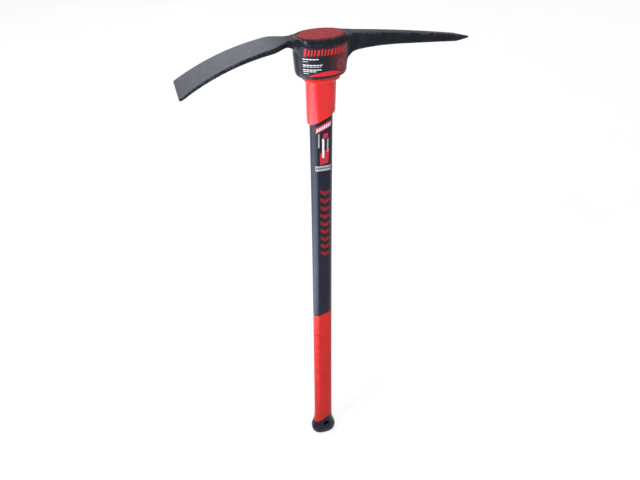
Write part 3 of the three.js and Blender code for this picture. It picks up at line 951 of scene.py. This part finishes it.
class Shader:
    """A Principled material with procedural inputs, in the part's own metres."""

    def __init__(self, name, **sockets):
        self.material = bpy.data.materials.new(name)
        self.material.use_nodes = True
        self.tree = self.material.node_tree
        self.surface = self.tree.nodes["Principled BSDF"]
        self.place = self.tree.nodes.new("ShaderNodeTexCoord").outputs["Object"]
        for socket, value in sockets.items():
            self.surface.inputs[socket.replace("_", " ")].default_value = value

    def node(self, kind, inputs=(), **settings):
        made = self.tree.nodes.new(kind)
        for key, value in settings.items():
            setattr(made, key, value)
        for key, value in dict(inputs).items():
            if isinstance(value, bpy.types.NodeSocket):
                self.tree.links.new(value, made.inputs[key])
            else:
                made.inputs[key].default_value = value
        return made

    def noise(self, size, detail, stretch=(1, 1, 1)):
        """Noise with features of about size millimetres, longer along an axis with a small stretch."""
        place = self.place
        if stretch != (1, 1, 1):
            place = self.node("ShaderNodeMapping", {"Vector": place, "Scale": stretch}).outputs[0]
        inputs = {"Vector": place, "Scale": 1 / (size * MM), "Detail": detail, "Roughness": 0.55}
        return self.node("ShaderNodeTexNoise", inputs).outputs["Fac"]

    def ramp(self, factor, *stops):
        """A colour that changes with factor: each stop is a position and a colour."""
        made = self.node("ShaderNodeValToRGB", {0: factor})
        elements = made.color_ramp.elements
        while len(elements) < len(stops):
            elements.new(0.5)
        for element, (position, colour) in zip(elements, stops):
            element.position = position
            element.color = (*colour, 1)
        return made.outputs["Color"]

    def span(self, value, low, high, to_low=0.0, to_high=1.0):
        """Takes low to high over to to_low to to_high, and stays there outside them."""
        made = self.node("ShaderNodeMapRange", {0: value, 1: low, 2: high, 3: to_low, 4: to_high})
        return made.outputs[0]

    def calc(self, operation, first, second=0.0):
        return self.node("ShaderNodeMath", {0: first, 1: second}, operation=operation).outputs[0]

    def blend(self, factor, first, second):
        """first where factor is 0, second where it is 1."""
        values = {0: factor, 6: first, 7: second}
        values = {k: (*v, 1) if isinstance(v, tuple) else v for k, v in values.items()}
        return self.node("ShaderNodeMix", values, data_type="RGBA").outputs[2]

    def attribute(self, name):
        return self.node("ShaderNodeAttribute", attribute_name=name).outputs["Fac"]

    def axis(self, index):
        return self.node("ShaderNodeSeparateXYZ", {0: self.place}).outputs[index]

    def rib(self, pitch):
        """Fine level ribs, pitch millimetres apart, from 0 to 1."""
        turn = self.calc("MULTIPLY", self.axis(2), 2 * math.pi / (pitch * MM))
        return self.span(self.calc("SINE", turn), -1, 1)

    def bump(self, *layers):
        """Each layer is a height from 0 to 1 and its depth in millimetres."""
        normal = None
        for height, depth in layers:
            inputs = {"Height": height, "Distance": depth * MM, "Strength": 1.0}
            if normal is not None:
                inputs["Normal"] = normal
            normal = self.node("ShaderNodeBump", inputs).outputs[0]
        self.tree.links.new(normal, self.surface.inputs["Normal"])

    def wire(self, socket, value):
        self.tree.links.new(value, self.surface.inputs[socket])


def forged_paint():
    m = Shader("forged_paint", Specular_IOR_Level=0.13, Specular_Tint=(0.76, 0.82, 1.0, 1))
    mottle = m.noise(16, 5)
    grain = m.noise(1.1, 3)
    dark, middle, light = (0.005, 0.006, 0.008), (0.008, 0.009, 0.012), (0.013, 0.015, 0.019)
    colour = m.ramp(mottle, (0.3, dark), (0.55, middle), (0.75, light))
    speck = m.span(grain, 0.62, 0.78)
    colour = m.blend(m.calc("MULTIPLY", speck, 0.3), colour, (0.055, 0.058, 0.07))
    scratch = m.span(m.noise(2.2, 4, (0.12, 1, 1)), 0.66, 0.8)
    colour = m.blend(m.calc("MULTIPLY", scratch, 0.3), colour, (0.08, 0.082, 0.09))
    rubbed = m.calc("MULTIPLY", m.attribute("wear"), m.span(m.noise(5, 4), 0.42, 0.66))
    colour = m.blend(m.calc("MULTIPLY", rubbed, 0.4), colour, (0.13, 0.135, 0.15))
    m.wire("Base Color", colour)
    # The lacquer is smoother round the eye than on the blades.
    blade = m.span(m.calc("ABSOLUTE", m.axis(0)), 0.045, 0.07, 0.0, 0.1)
    m.wire("Roughness", m.calc("ADD", m.span(m.noise(7, 4), 0.3, 0.7, 0.19, 0.27), blade))
    m.bump((m.noise(12, 2), 0.35), (m.noise(2.4, 3), 0.05), (grain, 0.03))
    return m.material


def glossy_red():
    m = Shader("moulded_red", Specular_IOR_Level=0.36)
    cloud = m.noise(18, 4)
    colour = m.ramp(cloud, (0.3, (0.50, 0.006, 0.006)), (0.7, (0.58, 0.010, 0.009)))
    scuff = m.span(m.noise(1.6, 4, (1, 1, 0.15)), 0.64, 0.8)
    m.wire("Base Color", m.blend(m.calc("MULTIPLY", scuff, 0.2), colour, (0.80, 0.14, 0.13)))
    m.wire("Roughness", m.span(m.noise(6, 4), 0.3, 0.7, 0.24, 0.36))
    m.bump((m.noise(3.0, 2), 0.03), (m.noise(0.6, 2), 0.008))
    return m.material


def grip_red():
    m = Shader("grip_red_rubber", Specular_IOR_Level=0.15)
    cloud = m.noise(22, 5)
    colour = m.ramp(cloud, (0.3, (0.38, 0.008, 0.006)), (0.7, (0.47, 0.013, 0.010)))
    dust = m.span(m.noise(3.0, 5, (1, 1, 0.3)), 0.6, 0.82)
    m.wire("Base Color", m.blend(m.calc("MULTIPLY", dust, 0.18), colour, (0.58, 0.12, 0.10)))
    m.wire("Roughness", m.span(m.noise(4, 4), 0.3, 0.7, 0.38, 0.55))
    m.bump((m.rib(2.3), 0.035), (m.noise(0.7, 3), 0.04))
    return m.material


def jacket_grey():
    m = Shader("jacket_slate", Specular_IOR_Level=0.27, Specular_Tint=(0.68, 0.73, 1.0, 1))
    cloud = m.noise(30, 4)
    colour = m.ramp(cloud, (0.3, (0.003, 0.003, 0.006)), (0.7, (0.006, 0.006, 0.012)))
    scuff = m.span(m.noise(1.5, 4, (1, 1, 0.08)), 0.63, 0.82)
    m.wire("Base Color", m.blend(m.calc("MULTIPLY", scuff, 0.25), colour, (0.06, 0.062, 0.08)))
    m.wire("Roughness", m.span(m.noise(5, 4), 0.3, 0.7, 0.32, 0.44))
    m.bump((m.noise(2.6, 2, (1, 1, 0.4)), 0.04), (m.noise(0.5, 3), 0.02))
    return m.material


def cap_rubber():
    m = Shader("cap_rubber", Specular_IOR_Level=0.22, Specular_Tint=(0.74, 0.8, 1.0, 1))
    cloud = m.noise(9, 4)
    colour = m.ramp(cloud, (0.3, (0.004, 0.004, 0.007)), (0.7, (0.007, 0.006, 0.011)))
    dust = m.span(m.noise(2.0, 5), 0.6, 0.85)
    m.wire("Base Color", m.blend(m.calc("MULTIPLY", dust, 0.3), colour, (0.05, 0.046, 0.055)))
    m.wire("Roughness", m.span(m.noise(3, 4), 0.3, 0.7, 0.24, 0.36))
    m.bump((m.noise(2.4, 2), 0.06), (m.noise(0.6, 3), 0.03))
    return m.material


def plug_red():
    m = Shader("plug_red", Specular_IOR_Level=0.1)
    cloud = m.noise(12, 5)
    colour = m.ramp(cloud, (0.3, (0.19, 0.010, 0.012)), (0.7, (0.25, 0.018, 0.020)))
    streak = m.span(m.noise(2.4, 4, (0.12, 1, 1)), 0.45, 0.75)
    colour = m.blend(m.calc("MULTIPLY", streak, 0.35), colour, (0.34, 0.08, 0.08))
    # Painted shade: below the top of the rim, in the groove and down the plug's edge, the red is
    # painted darker.
    painted_groove_shade = m.span(m.axis(2), 0.91335, 0.91375, 1.0, 0.0)
    m.wire("Base Color", m.blend(m.calc("MULTIPLY", painted_groove_shade, 0.85), colour, (0.09, 0.005, 0.006)))
    m.wire("Roughness", m.span(m.noise(5, 4), 0.3, 0.7, 0.42, 0.58))
    m.bump((m.noise(3.2, 3, (0.3, 1, 1)), 0.06), (m.noise(0.8, 3), 0.03))
    return m.material


def label_film(name, tint):
    m = Shader(name, Specular_IOR_Level=0.12)
    grain = m.noise(1.4, 3)
    dark = m.ramp(grain, (0.3, (0.009, 0.009, 0.012)), (0.7, (0.014, 0.014, 0.018)))
    m.wire("Base Color", m.blend(m.span(m.axis(0), 0.004, 0.034, 0.0, 0.9), dark, tint))
    m.wire("Roughness", m.span(m.noise(8, 3), 0.3, 0.7, 0.26, 0.36))
    m.bump((m.noise(7, 2), 0.03), (grain, 0.004))
    return m.material


def ink(name, low, high):
    m = Shader(name, Specular_IOR_Level=0.12)
    m.wire("Base Color", m.ramp(m.noise(1.1, 4), (0.35, low), (0.65, high)))
    m.wire("Roughness", m.span(m.noise(3, 3), 0.3, 0.7, 0.3, 0.42))
    m.bump((m.noise(0.8, 2), 0.006))
    return m.material


def brushed_plate():
    m = Shader("brushed_plate", Metallic=1.0)
    streak = m.noise(0.6, 4, (0.06, 1, 1))
    m.wire("Base Color", m.ramp(streak, (0.3, (0.42, 0.43, 0.43)), (0.7, (0.62, 0.63, 0.62))))
    m.wire("Roughness", m.span(streak, 0.3, 0.7, 0.3, 0.5))
    m.bump((streak, 0.02))
    return m.material


def glass_fibre():
    m = Shader("glass_fibre", Specular_IOR_Level=0.5)
    strand = m.noise(0.9, 4, (1, 1, 0.04))
    m.wire("Base Color", m.ramp(strand, (0.3, (0.66, 0.64, 0.56)), (0.7, (0.85, 0.84, 0.79))))
    m.wire("Roughness", m.span(strand, 0.3, 0.7, 0.35, 0.55))
    m.bump((strand, 0.05))
    return m.material


def studio_floor():
    white = (1, 1, 1, 1)
    m = Shader("studio_floor", Specular_IOR_Level=0.1, Emission_Color=white, Emission_Strength=0.73)
    dark, light = (0.24, 0.24, 0.24), (0.26, 0.26, 0.26)
    m.wire("Base Color", m.ramp(m.noise(400, 3), (0.3, dark), (0.7, light)))
    m.wire("Roughness", m.span(m.noise(60, 3), 0.3, 0.7, 0.7, 0.85))
    return m.material


# ---------------------------------------------------------------- studio


def add_floor(material):
    half = 30000
    corners = [(-half, -half, 0), (half, -half, 0), (half, half, 0), (-half, half, 0)]
    floor = add_mesh("studio_floor", corners, [(0, 1, 2, 3)], material)


def add_softbox(name, place, target, width, height, power, colour=(1, 1, 1)):
    light = bpy.data.lights.new(name, "AREA")
    light.shape = "RECTANGLE"
    light.size, light.size_y = width, height
    light.energy = power
    light.color = colour
    lamp = bpy.data.objects.new(name, light)
    bpy.context.scene.collection.objects.link(lamp)
    lamp.location = place
    lamp.rotation_euler = (Vector(target) - Vector(place)).to_track_quat("-Z", "Y").to_euler()
    lamp.visible_camera = False


def add_studio():
    world = bpy.data.worlds.new("studio")
    bpy.context.scene.world = world
    world.use_nodes = True
    backdrop = world.node_tree.nodes["Background"]
    backdrop.inputs["Color"].default_value = (0.97, 0.98, 1.0, 1)
    backdrop.inputs["Strength"].default_value = 0.75
    add_softbox("key_left", (-1.58, -0.88, 2.16), (0, 0, 0.9), 0.42, 0.2, 44, (0.88, 0.94, 1.0))
    add_softbox("back_left", (-0.95, 2.2, 2.15), (-0.1, 0, 0.88), 2.6, 1.6, 38, (0.88, 0.93, 1.0))
    add_softbox("low_left", (-1.1, -0.45, 0.02), (-1.1, -0.45, 1), 1.5, 1.6, 52, (0.82, 0.88, 1.0))
    add_softbox("ceiling", (0.4, 1.6, 5.0), (0.4, 1.6, 0), 8, 8, 40)
    bpy.context.scene.view_settings.view_transform = "Standard"


# The camera's place in metres, turn in degrees (round, down and rolled) and lens in millimetres.
CAMERA_PLACE = (-0.2885, -0.9938, 1.2799)
CAMERA_TURN = (16.0, 36.01, -0.527)
CAMERA_LENS = 39.16


def add_camera():
    """A camera above and to the front left, rolled half a degree."""
    azimuth, pitch, roll = (math.radians(turn) for turn in CAMERA_TURN)
    along = Vector((math.sin(azimuth), math.cos(azimuth), 0))
    forward = math.cos(pitch) * along + Vector((0, 0, -math.sin(pitch)))
    right = Vector((math.cos(azimuth), -math.sin(azimuth), 0))
    up = right.cross(forward)
    turned_right = math.cos(roll) * right + math.sin(roll) * up
    turned_up = -math.sin(roll) * right + math.cos(roll) * up
    turn = Matrix((turned_right, turned_up, -forward)).transposed()
    data = bpy.data.cameras.new("studio_camera")
    data.sensor_width = 36
    data.lens = CAMERA_LENS
    camera = bpy.data.objects.new("studio_camera", data)
    bpy.context.scene.collection.objects.link(camera)
    camera.matrix_world = Matrix.Translation(CAMERA_PLACE) @ turn.to_4x4()
    bpy.context.scene.camera = camera


# ---------------------------------------------------------------- the whole


def finish_cad_node(node, material):
    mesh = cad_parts[node].data
    mesh.materials.clear()
    mesh.materials.append(material)


def main():
    red_ink = ink("ink_red", (0.44, 0.014, 0.018), (0.54, 0.022, 0.026))
    white_ink = ink("ink_white", (0.50, 0.50, 0.52), (0.66, 0.66, 0.69))
    make_head(forged_paint())
    make_plug(plug_red())
    make_jacket(jacket_grey())
    make_collar(glossy_red())
    make_grip(grip_red())
    make_cap(cap_rubber())
    make_head_label(
        label_film("head_film", (0.15, 0.024, 0.030)),
        red_ink,
        white_ink,
        ink("ink_badge", (0.22, 0.05, 0.05), (0.30, 0.07, 0.07)),
    )
    make_handle_label(
        label_film("handle_film", (0.012, 0.012, 0.014)),
        ink("ink_crimson", (0.36, 0.014, 0.030), (0.45, 0.022, 0.042)),
        ink("ink_pale", (0.60, 0.50, 0.53), (0.72, 0.65, 0.67)),
        ink("ink_metal", (0.20, 0.24, 0.23), (0.30, 0.35, 0.33)),
        ink("ink_silver", (0.24, 0.24, 0.25), (0.36, 0.36, 0.37)),
    )
    make_shaft_mark(
        ink("mark_red", (0.16, 0.008, 0.011), (0.21, 0.012, 0.015)),
        ink("mark_shade", (0.008, 0.008, 0.010), (0.012, 0.012, 0.014)),
    )
    finish_cad_node("lock_plate", brushed_plate())
    finish_cad_node("core_rod", glass_fibre())
    add_floor(studio_floor())
    add_studio()
    add_camera()


main()
